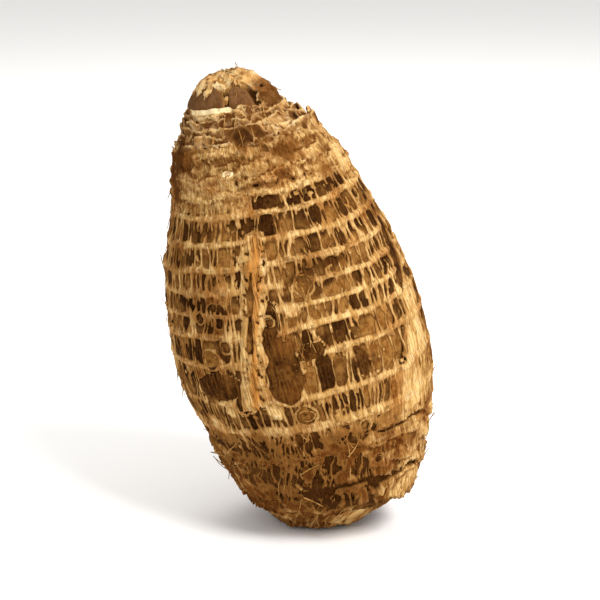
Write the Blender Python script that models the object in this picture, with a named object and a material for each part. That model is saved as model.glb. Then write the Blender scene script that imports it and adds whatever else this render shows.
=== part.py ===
"""A taro corm, the swollen underground stem that is sold as taro root.

It grew as one piece, so it is one solid.  It stands on its flattened root end with the
shoot end up, and leans a little to one side.  Units are metres, +Z is up, the front
faces -Y, and the origin is the centre of the flat face that it rests on.
"""

import math

import bmesh
import bpy
from mathutils import Vector, noise

MM = 0.001

# ---- driving dimensions ------------------------------------------------------------
LOWEST_SECTION = -3.0 * MM    # below the cut, so that the cut leaves a flat face
HIGHEST_SECTION = 175.0 * MM
GIRTH_DEPTH = 0.97            # front-to-back girth over side-to-side girth
RING_TILT = math.radians(11.0)
TILT_FADE_HEIGHT = 26.0 * MM  # the growth rings lie level at the foot and tilt above this

# The spine is the line through the middle of the corm: (height, sideways place), in mm.
SPINE = (
    (-3, 0), (0, 0), (5, 2), (12, 5.5), (20, 6), (28, 4.5), (46, 1), (68, -5), (90, -10.5),
    (114, -16), (134, -20.5), (148, -25), (161, -30.5), (175, -34),
)

# The girth along the spine: (height, radius), in mm.  The wide body draws in to a
# shoulder at 149 mm, and the stump of the shoot stands up out of the shoulder.
GIRTH = (
    (-3, 0), (-2, 9), (0, 15), (2.5, 18.5), (6, 22.5), (12, 29), (20, 35), (28, 38.5), (46, 44),
    (66, 48), (90, 46.5), (114, 41), (134, 33.5), (143, 30.5), (149, 27.5), (152.5, 25.5),
    (156, 21.5), (161, 18), (167, 14.5), (172, 10), (174.4, 6), (175, 0),
)

# Leaf scars ring the corm at these heights, in mm.  The bark between two of them swells.
LEAF_SCARS = (13, 26, 41, 53, 65, 79, 89, 96.5, 104.5, 112.5, 121, 130, 136.5, 143, 150)
BARK_SWELLING = 0.5 * MM

# Broad unevenness, as on any root that grew in soil.
LUMP_HEIGHT = 0.6 * MM
LUMP_SIZE = 24.0 * MM

AROUND_STEPS = 60
ALONG_STEPS = 58
CORM_COLOUR = (0.33, 0.19, 0.085, 1.0)


def through(points, place):
    """The smooth curve through (place, value) pairs given in mm, read at a place."""
    place = place / MM
    last = len(points) - 1
    step = next((i for i in range(last) if place <= points[i + 1][0]), last - 1)
    (x0, y0), (x1, y1) = points[step], points[step + 1]

    def slope(i):
        before, after = points[max(i - 1, 0)], points[min(i + 1, last)]
        return (after[1] - before[1]) / (after[0] - before[0])

    width = x1 - x0
    u = min(max((place - x0) / width, 0.0), 1.0)
    value = ((1 + 2 * u) * (1 - u) ** 2 * y0 + u * (1 - u) ** 2 * width * slope(step)
             + u * u * (3 - 2 * u) * y1 + u * u * (u - 1) * width * slope(step + 1))
    return value * MM


def bark_swelling(height):
    """How far the bark stands out between two leaf scars, at a height on the spine."""
    for lower, upper in zip(LEAF_SCARS, LEAF_SCARS[1:]):
        if lower <= height / MM < upper:
            return BARK_SWELLING * math.sin(math.pi * (height / MM - lower) / (upper - lower))
    return 0.0


def lumps(place):
    """Low, broad bumps, fading out at the foot so that it stays flat."""
    fade = min(max(place.z / (12 * MM), 0.0), 1.0)
    return LUMP_HEIGHT * fade * noise.noise(place / LUMP_SIZE)


def skin_point(height, angle):
    """A point of the skin: a height on the spine and an angle around it."""
    middle = Vector((through(SPINE, height), 0.0, height))
    tilt = RING_TILT * min(max(height / TILT_FADE_HEIGHT, 0.0), 1.0)
    sideways = Vector((math.cos(tilt), 0.0, math.sin(tilt)))
    backwards = Vector((0.0, GIRTH_DEPTH, 0.0))
    outward = sideways * math.cos(angle) + backwards * math.sin(angle)
    radius = max(through(GIRTH, height), 0.0)
    radius += bark_swelling(height)
    place = middle + outward * radius
    return place + outward * lumps(place)


def corm_mesh():
    """A sphere drawn out along the spine, then cut flat where the corm rests."""
    shape = bmesh.new()
    bmesh.ops.create_uvsphere(shape, u_segments=AROUND_STEPS, v_segments=ALONG_STEPS,
                              radius=1.0)
    for vert in shape.verts:
        share = (1.0 + vert.co.z) / 2.0
        height = LOWEST_SECTION + share * (HIGHEST_SECTION - LOWEST_SECTION)
        vert.co = skin_point(height, math.atan2(vert.co.y, vert.co.x))
    everything = list(shape.verts) + list(shape.edges) + list(shape.faces)
    cut = bmesh.ops.bisect_plane(shape, geom=everything, dist=1e-7, plane_co=(0, 0, 0),
                                 plane_no=(0, 0, 1), clear_inner=True)
    rim = [item for item in cut["geom_cut"] if isinstance(item, bmesh.types.BMEdge)]
    bmesh.ops.contextual_create(shape, geom=rim)
    bmesh.ops.recalc_face_normals(shape, faces=shape.faces)
    mesh = bpy.data.meshes.new("taro_corm")
    shape.to_mesh(mesh)
    shape.free()
    return mesh


def skin_material():
    material = bpy.data.materials.new("taro_skin")
    material.use_nodes = True
    surface = material.node_tree.nodes["Principled BSDF"]
    surface.inputs["Base Color"].default_value = CORM_COLOUR
    surface.inputs["Roughness"].default_value = 0.85
    surface.inputs["Metallic"].default_value = 0.0
    material.diffuse_color = CORM_COLOUR
    return material


def main():
    for old in list(bpy.data.objects):
        bpy.data.objects.remove(old, do_unlink=True)
    collection = bpy.data.collections.new("taro_root")
    bpy.context.scene.collection.children.link(collection)
    mesh = corm_mesh()
    mesh.materials.append(skin_material())
    mesh.shade_smooth()
    mesh.set_sharp_from_angle(angle=math.radians(50))
    collection.objects.link(bpy.data.objects.new("taro_corm", mesh))


if __name__ == "__main__":
    main()
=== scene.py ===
"""The looks of a taro corm: barky skin, a net of pale bark fibres, leaf scars, root scars,
the torn stump of the shoot, loose fibres and root hairs, and the stage it stands on.

Sizes are in millimetres and angles in degrees unless a comment says otherwise.  A place on
the corm is a height along its spine and an angle around it: -90 faces the front, 0 is +X.
"""

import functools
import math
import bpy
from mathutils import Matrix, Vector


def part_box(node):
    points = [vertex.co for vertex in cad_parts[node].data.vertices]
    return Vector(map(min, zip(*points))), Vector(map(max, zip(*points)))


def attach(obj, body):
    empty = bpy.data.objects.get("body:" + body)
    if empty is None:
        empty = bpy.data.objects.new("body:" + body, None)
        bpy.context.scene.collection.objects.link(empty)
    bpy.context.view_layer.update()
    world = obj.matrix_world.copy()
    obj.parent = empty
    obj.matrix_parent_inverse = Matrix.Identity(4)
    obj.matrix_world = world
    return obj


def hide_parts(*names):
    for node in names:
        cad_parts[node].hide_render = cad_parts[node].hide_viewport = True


bl_info = {
    "name": "Taro Corm",
    "version": (1, 0, 0),
    "blender": (4, 5, 0),
    "location": "View3D > Sidebar > Taro",
    "description": "Builds a taro corm with fibrous ringed bark around its plain solid",
    "category": "Add Mesh",
}

import bpy
import numpy as np
from bpy.props import FloatProperty, FloatVectorProperty, IntProperty, PointerProperty
from mathutils import Vector
from mathutils.bvhtree import BVHTree

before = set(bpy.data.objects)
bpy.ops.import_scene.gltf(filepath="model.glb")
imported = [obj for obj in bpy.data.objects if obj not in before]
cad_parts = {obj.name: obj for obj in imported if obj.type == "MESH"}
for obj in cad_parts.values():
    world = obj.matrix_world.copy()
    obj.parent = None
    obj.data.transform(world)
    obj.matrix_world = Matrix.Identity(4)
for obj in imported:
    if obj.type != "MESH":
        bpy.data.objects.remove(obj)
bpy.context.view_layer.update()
MM = 0.001
SEED = 41

# ---- the corm's own measures ----
# The spine is the line through the middle of the corm: (height, sideways place).
SPINE = (
    (-3, 0), (0, 0), (5, 2), (12, 5.5), (20, 6), (28, 4.5), (46, 1), (68, -5), (90, -10.5),
    (114, -16), (134, -20.5), (148, -25), (161, -30.5), (175, -34),
)
RING_TILT = 11.0
TILT_FADE_HEIGHT = 26.0
LEAF_SCARS = (13, 26, 41, 53, 65, 79, 89, 96.5, 104.5, 112.5, 121, 130, 136.5, 143, 150)
BROAD_SCAR = 53
LAST_RING = 172.0           # where the row above the last leaf scar would end
MATTED = (52, 40)           # below the first height the bark turns matted, fully by the second
SHREDDED_BELOW = 45         # the strands that start below this are torn and crossed
EVEN_ROW = (40, 60)         # the strands that start between these stand close and even
PAPERY = (131, 135)         # above these it closes to papery bark, a little higher at the front
WIDEST_GIRTH = 48.0
FRONT, BACK = -90.0, 90.0   # the seams are at the back
FRINGE_SPACING = 2.0        # degrees between the short fibres along a leaf scar
NOWHERE = -5.0              # the cover of a place that nothing has reached yet, in mm

TIP_HEIGHT = 172.5          # the skin closes in a torn cap above this
CAP_PATH = 8.0              # rows of skin across the cap, counted as height
CAP_RISE = 1.8
SKIN_END = TIP_HEIGHT + CAP_PATH
FOOT_PATH = 15.0            # rows of skin across the foot, counted as negative height
FOOT_HOLLOW = 1.3

# The raised strip of bark down the front, with a slit along it.
RIDGE_TOP, RIDGE_FOOT = (124.0, -97.5), (62.0, -114.0)
RIDGE_HALF_WIDTH = 4.8
SLIT_FROM, SLIT_TO = 83.0, 111.0

# Where the bark has come off: (lowest, highest, angle below, angle above, half width).
BARE_PATCHES = (
    (62.5, 86, -98, -95, 6.4), (82, 100, -99.5, -96.5, 2.9), (77.5, 83.5, -84, -82, 5.0),
    (66, 76, -130, -129, 9.5), (61, 70, -119, -119, 2.6), (89, 117, -25, -13, 2.5),
    (11.5, 15.5, -56, -54, 9), (21.5, 26, -98, -96, 6), (64, 78, 62, 64, 7.0),
    (95, 110, 120, 112, 4.6), (80, 88, 166, 168, 8.0), (123, 131, 45, 44, 5.5),
    (51, 61, -176, -175, 5.0),
)

# The next four tables are of (height, angle, radius).  Here the bark is paler and closed.
PALE_PLACES = (
    (54, -32, 15), (34, -12, 13), (6, -58, 9), (68, -26, 11), (60.5, -106, 4.5), (86, -22, 9),
    (60.5, -127, 4), (24, -38, 9), (121.5, -99, 3.5), (55, -140, 6), (105, -118, 4.5),
    (144, -52, 7), (96, -86, 3), (140, -18, 8), (21, -48, 8), (9, -66, 8), (56, 20, 11),
    (40, 60, 10), (88, 60, 8), (60, 110, 12), (125, 130, 9), (95, 150, 8), (35, 130, 11),
    (110, 5, 8), (130, 20, 7), (77, -168, 6), (20, 95, 9),
)
# Here the bark is duller and browner; those low on the left are painted shade instead.
# In the papery bark near the shoot these places also make hollows, painted dark as shade.
DULL_AND_SHADED_PLACES = (
    (112, -16, 5), (104, -18, 5), (95, -22, 4), (75, -6, 8), (60, -2, 7), (149, -162, 14),
    (155, -86, 9), (147, -58, 7), (56, -143, 9), (51, -120, 6), (137, -158, 6), (37, -92, 15),
    (44, -112, 11), (44, -82, 9), (30, -128, 9), (29, -68, 8), (101, -140, 9), (108, -72, 7),
    (93, -128, 7), (136, -38, 6), (118, -150, 7), (24, -112, 10), (34, 25, 12), (72, 45, 8),
    (120, 75, 9), (104, 100, 8), (48, 90, 10), (82, 125, 8), (32, -170, 12), (47, -165, 10),
    (62, -172, 8), (30, 165, 11), (140, 160, 8), (138, 60, 8), (70, 175, 8), (118, -15, 6),
    (15, -150, 7), (14, 60, 8), (16, 140, 9),
)
# Here the net lies wide open.
OPEN_PLACES = (
    (132, -84, 9), (133, -66, 9), (134, -50, 7), (124, -80, 8), (125, -64, 9), (126, -48, 8),
    (116, -76, 7), (47, -98, 9), (46, -122, 9), (37, -92, 8), (30, -118, 7), (20, -98, 6),
    (33, -70, 6), (74, -55, 10), (85, -60, 9), (126, -135, 7), (121, -107, 6), (82, -8, 7),
    (68, -3, 7), (96, -8, 6), (84, 100, 11), (112, 60, 10), (60, 150, 11), (120, 178, 10),
)
# Here the skin and the thin bark are golden.
GOLDEN_PLACES = (
    (107, -82, 9), (100, -60, 8), (93, -78, 7), (144, -118, 10), (138, -128, 8),
    (118, -104, 7), (78, -48, 7), (95, -150, 6), (60, -60, 6), (110, 80, 9), (80, 130, 8),
    (98, 20, 8), (70, -150, 6), (112, -40, 6), (66, -92, 5), (88, -112, 4), (121, -107, 10),
    (32, -132, 9), (16, -110, 8),
)
# Here the brown skin is rusty instead.
RUSTY_PLACES = (
    (66.5, -94, 5), (84, -93, 4), (16, -70, 8), (48, -100, 9), (72, 64, 5), (104, 117, 5),
    (108.5, -75, 4), (110, -63, 4),
)

# Layers of bark that hang over what is below: (angle, height, angle, height, lip).
LEDGES = (
    (-104, 28.5, -52, 26, 2.3), (-92, 18.5, -14, 14, 3.4), (-66, 24, -24, 26, 1.2),
    (-150, 24, -112, 20, 1.4), (-86, 106.5, -54, 110.5, 1.7), (-165, 148, -98, 149.5, 1.4),
    (-108, 146.5, -30, 151, 1.6), (-70, 142, -15, 145, 1.3), (-100, 140, -62, 139, 1.2),
    (40, 146, 120, 148, 1.4), (-58, 44, -16, 46, 1.2), (20, 18, 75, 24, 1.8),
    (95, 30, 160, 26, 1.5), (150, 12, 215, 15, 1.6), (-165, 38, -128, 36, 1.2),
    (60, 40, 110, 38, 1.3),
)

# Scars that side roots left, and one that is pale and fresh: (height, angle, radius).
ROOT_SCARS = (
    (103.5, -78, 3.4), (81, -131, 3.6), (86, -121, 2.0), (96, -134, 1.8), (93.5, -98, 1.7),
    (57.5, -92, 3.6), (35, -139, 1.5), (19, -142, 1.6), (22, -112, 1.5), (127, -25, 1.9),
    (72, 12, 2.8), (110, 35, 2.2), (58, 60, 3.0), (90, 85, 2.4), (44, 100, 2.0),
    (75, 140, 3.2), (118, 150, 1.8), (30, 30, 1.8), (33, -60, 1.7), (28, 165, 2.0),
    (48.5, -66, 2.0), (100, -170, 2.6), (66, -160, 1.9), (29, 75, 2.2), (17, -15, 1.8),
)
PALE_SCARS = ((144, -107, 2.1),)

# The shells that the bark is built in: (name, lowest, highest).
BARK_BANDS = (("bark_root_end", 2.2, 40.5), ("bark_lower_body", 40.5, 78.5),
              ("bark_upper_body", 78.5, 112.5), ("bark_shoulder", 112.5, 152.5))
# The heights of the torn leaf bases, and how far out each stands on the right, in mm.
LEAF_BASES = ((150.6, 3.4), (153.2, 2.4), (155.6, 0.8), (158.0, 0), (160.0, 0), (161.9, 0))
# The smooth scales round the tip: (angle, half width in degrees, lowest, highest).
TIP_SCALES = ((-139, 42, 159.5, 172.0), (-74, 17, 159.0, 170.6), (44, 22, 159.5, 169.4),
              (98, 30, 159.0, 171.5), (152, 20, 159.3, 168.6))


# ---- seeded noise on the barrel of the corm ----
def noise(x, y, z, seed):
    """Smooth noise from -1 to 1, one value for each point of the three arrays."""
    cells = [np.floor(c).astype(np.int64) for c in (x, y, z)]
    parts = [c - f for c, f in zip((x, y, z), cells)]
    eased = [p * p * (3 - 2 * p) for p in parts]
    total = 0.0
    for corner in range(8):
        weight, number = 1.0, seed * 40503 + 977
        for axis, prime in enumerate((374761393, 668265263, 224682251)):
            step = corner >> axis & 1
            weight = weight * (eased[axis] if step else 1 - eased[axis])
            number = number + (cells[axis] + step) * prime
        total = total + weight * (shuffled(number) / 32767.5 - 1)
    return total


def shuffled(number):
    """Whole numbers from 0 to 65535 that show no pattern, made from whole numbers."""
    number = (number ^ (number >> 13)) * 1274126177
    return (number ^ (number >> 16)) & 0xFFFF


def wander(angle, height, around, along, seed):
    """Noise whose lumps are so many mm wide around the barrel and so many mm tall."""
    turn = np.radians(angle)
    scale = WIDEST_GIRTH / around
    x, y, z = scale * np.cos(turn), scale * np.sin(turn), height / along
    once = noise(x + 0.37 * z, y - 0.21 * z, z + 0.17 * x, seed)
    return 0.72 * once + 0.38 * noise(2.1 * x, 2.1 * y, 2.1 * z, seed + 57)


def dice(first, second, seed):
    """An even random number from 0 to 1 for each pair of whole numbers."""
    number = first.astype(np.int64) * 374761393 + second.astype(np.int64) * 668265263
    return shuffled(number + seed * 977) / 65535.0


def ease(low, high, value):
    """From 0 at low to 1 at high, with no corners; low may be the larger."""
    share = np.clip((value - low) / (high - low), 0, 1)
    return share * share * (3 - 2 * share)


def most(*values):
    """The largest of several, place by place."""
    return functools.reduce(np.maximum, values)


def least(*values):
    return functools.reduce(np.minimum, values)


def rounded(share):
    """A quarter circle's rise from 0 to 1, for the rounded edge of a sheet."""
    return np.sqrt(1 - (1 - np.clip(share, 0, 1)) ** 2)


def turned(angle):
    """The same angle from -180 to 180."""
    return (angle + 180) % 360 - 180


def fuse(a, b, soft):
    """The larger of two covers, with a fillet where they meet."""
    blend = np.clip(0.5 + 0.5 * (a - b) / soft, 0, 1)
    return b + (a - b) * blend + soft * blend * (1 - blend)


class Spots:
    """Places on the corm as arrays: their heights and angles, and the girth there in mm.
    The last number given to wander, blots and level is a seed, and picks the pattern."""

    def __init__(self, height, angle, girth=None):
        self.height, self.angle, self.girth = height, angle, girth

    def wander(self, around, along, seed):
        return wander(self.angle, self.height, around, along, seed)

    def blots(self, low, high, around, along, seed):
        """Wandering blots, 0 outside and 1 inside."""
        return ease(low, high, self.wander(around, along, seed))

    def level(self, around, seed):
        """Noise that changes round the corm and not with the height."""
        return wander(self.angle, 0 * self.height, around, 1, seed)

    def side(self, angle, none, full):
        """From 0 so many degrees away from an angle to 1 so many, on either side of it."""
        return ease(none, full, abs(turned(self.angle - angle)))

    def bulge(self, angle, wide):
        """A smooth hump, 1 at an angle and almost 0 twice so many degrees away."""
        return np.exp(-(turned(self.angle - angle) / wide) ** 2)

    def sweep(self, low, high):
        """From 0 at one angle to 1 at another."""
        return ease(low, high, turned(self.angle))

    def rise(self, low, high):
        """From 0 at one height to 1 at another."""
        return ease(low, high, self.height)

    def off(self, angle):
        """How far round from an angle each place is, in mm."""
        return turned(self.angle - angle) * np.radians(self.girth)

    def near(self, places):
        """From 0 to 1, how near each place is to the middle of one of those in a table."""
        nearest = np.zeros(len(self.height))
        for height, angle, radius in places:
            gap = np.hypot(self.off(angle) * 0.9, self.height - height)
            nearest = most(nearest, 1.25 - gap / radius)
        return np.clip(nearest + 0.45 * self.wander(7, 6, 51), 0, 1)


# ---- the corm's surface, felt out from its plain solid ----
def through(points, place):
    """The smooth curve through (place, value) pairs, read at an array of places."""
    spots, values = np.array(points, float).T
    last = len(spots) - 1
    step = np.clip(np.searchsorted(spots, place) - 1, 0, last - 1)
    each = np.arange(last + 1)
    before, after = most(each - 1, 0), least(each + 1, last)
    slopes = (values[after] - values[before]) / (spots[after] - spots[before])
    width = spots[step + 1] - spots[step]
    u = np.clip((place - spots[step]) / width, 0, 1)
    start, end = u * (1 - u) ** 2 * width, u * u * (u - 1) * width
    return ((1 + 2 * u) * (1 - u) ** 2 * values[step] + start * slopes[step]
            + u * u * (3 - 2 * u) * values[step + 1] + end * slopes[step + 1])


def section(height):
    """The middle of the section at a height and the way its +X side points, in mm."""
    tilt = np.radians(RING_TILT) * np.clip(height / TILT_FADE_HEIGHT, 0, 1)
    nothing = np.zeros_like(height)
    middle = np.stack([through(SPINE, height), nothing, height], -1)
    sideways = np.stack([np.cos(tilt), nothing, np.sin(tilt)], -1)
    return middle, sideways


class Barrel:
    """How far the plain solid reaches from its spine, at each height and angle."""

    HEIGHT_STEP, ANGLE_STEP = 1.0, 2.0
    FIRST_HEIGHT = 0.01     # the lowest rays start this far above the solid's flat foot

    def __init__(self, solid):
        tree = BVHTree.FromObject(solid, bpy.context.evaluated_depsgraph_get())
        heights = np.arange(0, TIP_HEIGHT + self.HEIGHT_STEP, self.HEIGHT_STEP)
        angles = np.radians(np.arange(-180, 180, self.ANGLE_STEP))
        reach = np.zeros((len(heights), len(angles)))
        for i, (middle, side) in enumerate(zip(*section(heights))):
            start = Vector(middle * MM)
            if i == 0:
                start.z = self.FIRST_HEIGHT * MM
            for j, angle in enumerate(angles):
                way = side * math.cos(angle) + np.array((0, math.sin(angle), 0))
                reach[i, j] = tree.ray_cast(start, Vector(way))[3] / MM
        self.reach = self.softened(reach)

    @staticmethod
    def softened(reach):
        """The same distances without the solid's facets."""
        for _ in range(3):
            reach = (np.roll(reach, 1, 1) + 2 * reach + np.roll(reach, -1, 1)) / 4
        padded = np.vstack([reach[:1], reach, reach[-1:]])
        reach[1:] = ((padded[:-2] + 2 * padded[1:-1] + padded[2:]) / 4)[1:]
        return reach

    def girth(self, height, angle):
        rows, columns = self.reach.shape
        i = np.clip(height / self.HEIGHT_STEP, 0, rows - 1.001)
        j = (angle + 180) % 360 / self.ANGLE_STEP
        i0, j0 = np.floor(i).astype(int), np.floor(j).astype(int) % columns
        j1 = (j0 + 1) % columns
        u, v = i - i0, j - np.floor(j)
        return ((self.reach[i0, j0] * (1 - v) + self.reach[i0, j1] * v) * (1 - u)
                + (self.reach[i0 + 1, j0] * (1 - v) + self.reach[i0 + 1, j1] * v) * u)

    def place(self, path, angle):
        """Points in mm. A path is a height, carried on under the foot and over the tip."""
        height = np.clip(path, 0, TIP_HEIGHT)
        foot = np.clip(1 + path / FOOT_PATH, 0, 1)
        cap = np.clip((SKIN_END - path) / CAP_PATH, 0, 1)
        middle, sideways = section(height)
        turn = np.radians(angle)[..., None]
        outward = sideways * np.cos(turn) + np.array((0, 1, 0)) * np.sin(turn)
        points = middle + outward * (self.girth(height, angle) * foot * cap)[..., None]
        points[..., 2] += FOOT_HOLLOW * ease(0, 1, 1 - foot)
        points[..., 2] += CAP_RISE * (1 - cap ** 2)
        return points

    def outward(self, path, angle):
        """Unit normals at the same places, felt a little way up, down and round."""
        reach, turn = 0.4, 1.5
        along = self.place(path + reach, angle) - self.place(path - reach, angle)
        around = self.place(path, angle + turn) - self.place(path, angle - turn)
        normal = np.cross(around, along)
        size = np.linalg.norm(normal, axis=-1, keepdims=True)
        upright = np.where(path > TIP_HEIGHT / 2, 1.0, -1.0)[..., None] * np.array((0, 0, 1.0))
        return np.where(size > 1e-6, normal / most(size, 1e-6), upright)

    def spots(self, height, angle):
        return Spots(height, angle, self.girth(height, angle))


# ---- where the bark lies ----
def openness(at):
    """From 0, bark closed with narrow slits, to 1, an open net with wide cells."""
    right_side = at.bulge(-8, 36) * at.rise(118, 96)
    patchy = 0.55 + 0.6 * at.wander(30, 22, 5)
    patchy = patchy + 0.3 - 0.8 * right_side - 0.35 * at.bulge(120, 30) - 0.7 * papery(at)
    opened = Spots(at.height, at.angle, WIDEST_GIRTH * 0.85).near(OPEN_PLACES)
    return np.clip(most(patchy, 1.6 * opened), 0, 1)


def papery(at):
    """From 0 to 1, how far into the closed papery bark under the shoot each place is."""
    front = at.sweep(-98, -92) * at.sweep(-22, -32)
    return ease(*PAPERY, at.height - 5.5 * front)


def row_strands(row, girth):
    """The fibres between two leaf scars: angle, half width, slant, first and last share.
    Angles here are counted from the back of the corm, where the net has its seam."""
    chance = np.random.default_rng(SEED + 7 * row)
    low = LEAF_SCARS[row]
    strands, angle, shredded = [], 0.0, low < SHREDDED_BELOW
    while angle < 360:
        place = turned(angle + BACK)
        open_here = float(openness(Spots(np.array([low + 6.0]), np.array([place])))[0])
        gap = (2.3 + 3.3 * open_here) * chance.uniform(0.7, 1.3)
        gap *= 0.7 if shredded else 1.0
        half = chance.uniform(0.28, 0.5) + (1 - open_here) * chance.uniform(0.1, 0.5)
        if chance.random() < 0.3:
            half += 0.4
        if EVEN_ROW[0] < low < EVEN_ROW[1]:
            gap, half = chance.uniform(2.3, 3.9), chance.uniform(0.42, 0.62)
        slant = chance.normal(0, 1.2 + 4.0 * shredded) - 1.2 * math.sin(math.radians(place))
        first, last = -0.4, 1.4
        fate = chance.random()
        if fate < 0.07 + 0.25 * shredded:
            first = chance.uniform(0.2, 0.7)
        elif fate < 0.14 + 0.5 * shredded:
            last = chance.uniform(0.3, 0.8)
        strands.append((angle, half, slant, first, last))
        if shredded and chance.random() < 0.5:
            beside, crossing = angle + chance.uniform(-1, 1), slant + chance.normal(0, 9)
            strands.append((beside, 0.3, crossing, -0.4, 1.4))
        if chance.random() < 0.25 + 0.3 * open_here:
            twin = math.degrees((2 * half + chance.uniform(0.35, 0.7)) / girth)
            leaning = slant + chance.normal(0, 0.6)
            strands.append((angle + twin, half * 0.8, leaning, first, last))
        angle += math.degrees(gap / girth)
    return np.array(strands).T


def strand_net(barrel, at, row, share, wobble):
    """How far inside a fibre each place is, in mm, and a random 0 to 1 for its cell."""
    cover, cell = np.full(len(row), NOWHERE), np.zeros(len(row))
    around = (at.angle - BACK) % 360
    for number, (low, high) in enumerate(zip(LEAF_SCARS, LEAF_SCARS[1:])):
        here = np.flatnonzero(row == number)
        if not len(here):
            continue
        size = float(barrel.girth(np.array([0.5 * (low + high)]), np.array([FRONT]))[0])
        angle, half, slant, first, last = row_strands(number, size)
        along = share[here, None]
        lean = angle + slant * (along - 0.5) + np.degrees(wobble[here, None] / size)
        off = around[here, None] - lean
        taper = np.clip((along - first) / 0.5, 0, 1) * np.clip((last - along) / 0.5, 0, 1)
        waist = 1.35 - 0.7 * np.sin(math.pi * np.clip(along, 0, 1))
        wide = half * (0.2 + 0.8 * taper) * waist
        gap = wide * (taper > 0) - abs(turned(off)) * np.radians(at.girth[here, None])
        cover[here] = (gap - 2.0 * (taper <= 0)).max(1)
        cell[here] = dice((off > 0).sum(1), row[here], 44)
    return cover, cell


def folds(at, period, sway, seed):
    """How far up its own fold each place is, from 0 to 1. The folds lie one over another."""
    swayed = at.height + sway * at.wander(15, 13, seed) + 0.25 * sway * at.wander(4, 4, seed)
    return swayed / period % 1


def ledge_lift(at):
    """The lift of the layers that hang over, in mm, and the shadow under them, from 0 to 1."""
    lift, shadow = np.zeros(len(at.height)), np.zeros(len(at.height))
    for from_angle, from_height, to_angle, to_height, lip in LEDGES:
        along = turned(at.angle - from_angle) / (to_angle - from_angle)
        here = ease(-0.12, 0.1, along) * ease(1.12, 0.9, along)
        sway = 1.4 + 1.2 * (from_height > 130)
        line = from_height + (to_height - from_height) * along
        line = line + sway * wander(at.angle, 0 * at.height + 9 * lip, 8, 1, 66)
        above = at.height - (line + 0.4 * sway * at.wander(2.2, 30, 67))
        drop = np.exp(-np.clip(above, 0, None) / 3.5) * (above > 0)
        lift = most(lift, here * lip * drop)
        dark = ease(-0.8 - 1.3 * lip, -0.3 * lip, above) * (above <= 0.1)
        shadow = most(shadow, here * dark)
    return lift, shadow


def ridge_angle(height):
    share = (height - RIDGE_FOOT[0]) / (RIDGE_TOP[0] - RIDGE_FOOT[0])
    return RIDGE_FOOT[1] + (RIDGE_TOP[1] - RIDGE_FOOT[1]) * share


def fringe(at, ringed, nearest, to_scar):
    """Short pointed fibres that stand above and below each leaf scar like teeth."""
    above = ringed > nearest
    spot = (at.angle + 0.5 * wander(at.angle, ringed, 3, 4, 41)) / FRINGE_SPACING
    number = np.floor(spot)
    off = abs(spot - number - 0.5) * np.radians(FRINGE_SPACING) * at.girth
    number = number % (360 / FRINGE_SPACING)
    tall = 0.5 + 3.4 * dice(number, nearest * 10, 42) ** 2 * np.where(above, 0.8, 1.25)
    tall = np.where(dice(number, nearest * 10 + above, 43) < 0.3, 0.4, tall)
    return least(0.42 - off, (tall - to_scar) * 0.3)


def bare_patches(at):
    """How far inside a bare patch each place is, in mm."""
    bare = np.full(len(at.height), NOWHERE)
    for low, high, at_low, at_high, half in BARE_PATCHES:
        lean = at_low + (at_high - at_low) * (at.height - low) / (high - low)
        middle = (2 * at.height - low - high) / (high - low)
        bare = most(bare, half * (1 - abs(middle) ** 5) - abs(at.off(lean)))
    return (bare + 1.5 * at.wander(5, 5, 12) + 0.6 * at.wander(1.3, 1.5, 13)
            + 1.0 * at.wander(1.6, 7, 64))


def closed_bark(at, cell, share, pale, papered, matted):
    """How far inside the closed bark between the fibres each place is, in mm."""
    wide = at.near(OPEN_PLACES)
    shut = 1 - (openness(at) - 0.5 * pale)
    thin = cell - (0.1 + 0.62 * shut) + 0.3 * at.wander(5, 8, 6) - 0.3 * matted
    thin = thin - 0.5 * (0.5 - share)
    closed = 0.8 - 2.4 * ease(-0.12, 0.22, thin + 0.5 * wide)
    patchy = 0.25 + 1.6 * at.wander(7, 4, 16) + 0.9 * ease(-60, -90, at.angle)
    closed = np.where(papered > 0.1, most(closed, patchy), closed)
    closed = most(closed, 1.5 * pale - 0.6)
    narrow = at.rise(40, 44) * at.rise(66, 62)
    closed = closed - 0.9 * narrow * (1 - pale) * at.sweep(-40, -60)
    tatters = 0.35 + 1.8 * at.wander(6, 5, 57) - 2.0 * wide + 0.8 * at.sweep(-75, -45)
    return np.where(matted > 0, most(closed, tatters * matted), closed)


def root_scar_gaps(at):
    """How far outside the nearest root scar each place is, in mm; below 0 it is inside."""
    nearest = np.full(len(at.height), 9.0)
    for height, angle, radius in ROOT_SCARS:
        gap = np.hypot(at.off(angle), at.height - height) - radius
        nearest = np.where(abs(gap) < abs(nearest), gap, nearest)
    return nearest + 0.5 * at.wander(2.4, 2.4, 47)


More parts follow.
